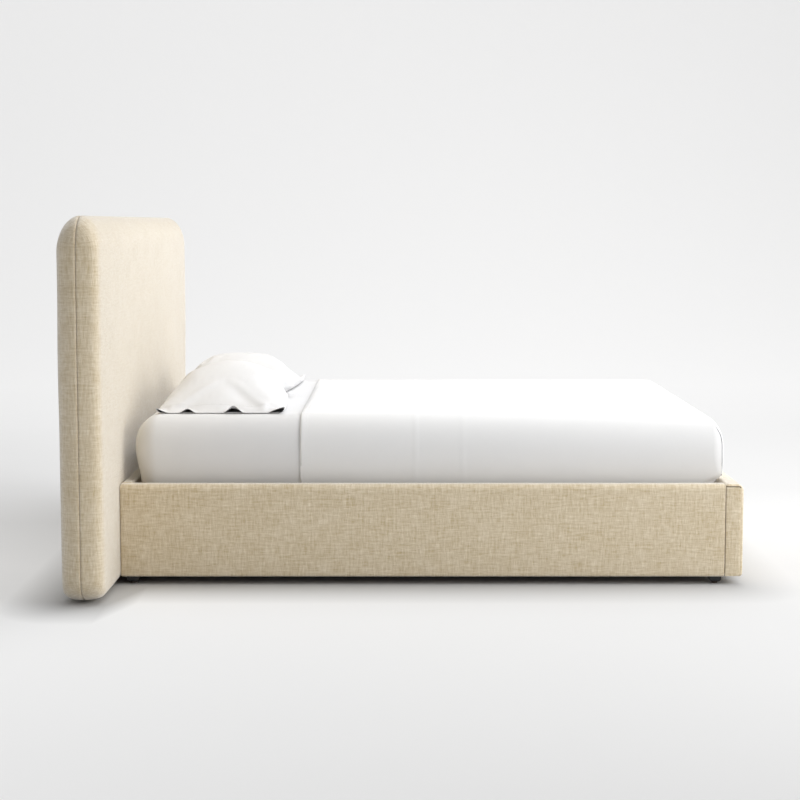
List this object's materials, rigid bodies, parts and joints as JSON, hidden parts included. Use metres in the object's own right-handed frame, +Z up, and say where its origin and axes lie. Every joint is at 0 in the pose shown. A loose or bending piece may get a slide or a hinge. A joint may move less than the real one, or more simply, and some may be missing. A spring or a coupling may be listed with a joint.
{
  "type": "upholstered headboard bed",
  "caption": "Queen-size platform bed in woven upholstery with a tall, extra-wide padded headboard, a mattress, white coverlet and two pillows.",
  "frame": {"origin": "centre of the bed's footprint, on the floor", "axes": "+X from the headboard to the foot, +Y to the sleeper's left, +Z up"},
  "size_m": [2.295, 2.384, 1.269],
  "materials": {
    "linen": "matte",
    "sheet_cotton": "matte",
    "coverlet_cotton": "matte",
    "case_cotton": "matte",
    "pillow_fill": "matte",
    "ticking": "matte",
    "foam": "matte",
    "spring_core": "matte",
    "webbing": "matte",
    "pine": "matte",
    "plywood": "matte",
    "zinc_steel": "satin",
    "black_plastic": "satin",
    "brown_felt": "matte"
  },
  "bodies": {
    "bedstead": {"headboard_posts": "pine", "headboard_studs": "pine", "headboard_top_beam": "pine", "headboard_bottom_beam": "pine", "headboard_front_panel": "plywood", "headboard_rear_panel": "plywood", "headboard_front_foam": "foam", "headboard_rear_foam": "foam", "headboard_edge_foam": "foam", "headboard_front_cover": "linen", "headboard_rear_cover": "linen", "headboard_glides": "black_plastic", "side_rail_board_left": "plywood", "side_rail_board_right": "plywood", "side_rail_padding_left": "foam", "side_rail_padding_right": "foam", "side_rail_cover_left": "linen", "side_rail_cover_right": "linen", "foot_rail_board": "plywood", "foot_rail_padding": "foam", "foot_rail_cover": "linen", "head_rail_board": "plywood", "head_rail_padding": "foam", "head_rail_cover": "linen", "corner_posts": "pine", "headboard_bolts": "zinc_steel", "headboard_inserts": "zinc_steel", "foot_rail_bolts": "zinc_steel", "foot_rail_inserts": "zinc_steel", "bolt_washers": "zinc_steel", "corner_feet": "black_plastic", "corner_glides": "brown_felt", "foot_screws": "zinc_steel", "slat_ledger_left": "pine", "slat_ledger_right": "pine", "ledger_screws": "zinc_steel", "slats": "pine", "slat_straps": "webbing", "slat_screws": "zinc_steel", "centre_beam": "pine", "beam_hangers": "zinc_steel", "hanger_screws": "zinc_steel", "centre_legs": "pine", "leg_inserts": "zinc_steel", "leg_dowel_bolts": "zinc_steel"},
    "leveller_pad_head": {"leveller_pad_head": "black_plastic"},
    "leveller_pad_foot": {"leveller_pad_foot": "black_plastic"},
    "leveller_stem_head": {"leveller_stem_head": "zinc_steel"},
    "leveller_stem_foot": {"leveller_stem_foot": "zinc_steel"},
    "mattress": {"mattress_base_foam": "foam", "mattress_spring_core": "spring_core", "mattress_top_foam": "foam", "mattress_ticking": "ticking", "fitted_sheet": "sheet_cotton", "coverlet": "coverlet_cotton"},
    "pillow_left": {"pillow_left": "pillow_fill", "pillowcase_left": "case_cotton"},
    "pillow_right": {"pillow_right": "pillow_fill", "pillowcase_right": "case_cotton"}
  },
  "joints": [
    {"name": "leveller_travel_head", "type": "slide", "parent": "bedstead", "child": "leveller_pad_head", "axis": [0, 0, -1], "range_m": [0, 0.012]},
    {"name": "leveller_turn_head", "type": "hinge", "parent": "leveller_pad_head", "child": "leveller_stem_head", "pos_m": [-0.35, 0, 0.02], "axis": [0, 0, -1], "range_deg": [0, 3456]},
    {"name": "leveller_travel_foot", "type": "slide", "parent": "bedstead", "child": "leveller_pad_foot", "axis": [0, 0, -1], "range_m": [0, 0.012]},
    {"name": "leveller_turn_foot", "type": "hinge", "parent": "leveller_pad_foot", "child": "leveller_stem_foot", "pos_m": [0.45, 0, 0.02], "axis": [0, 0, -1], "range_deg": [0, 3456]},
    {"name": "mattress_lift", "type": "slide", "parent": "bedstead", "child": "mattress", "axis": [0, 0, 1], "range_m": [0, 0.3]},
    {"name": "pillow_left_lift", "type": "slide", "parent": "mattress", "child": "pillow_left", "axis": [0, 0, 1], "range_m": [0, 0.3]},
    {"name": "pillow_right_lift", "type": "slide", "parent": "mattress", "child": "pillow_right", "axis": [0, 0, 1], "range_m": [0, 0.3]}
  ],
  "couplings": [
    {"joint": "leveller_travel_head", "follows": "leveller_turn_head", "m_per_rad": 0.00019894},
    {"joint": "leveller_travel_foot", "follows": "leveller_turn_foot", "m_per_rad": 0.00019894}
  ]
}
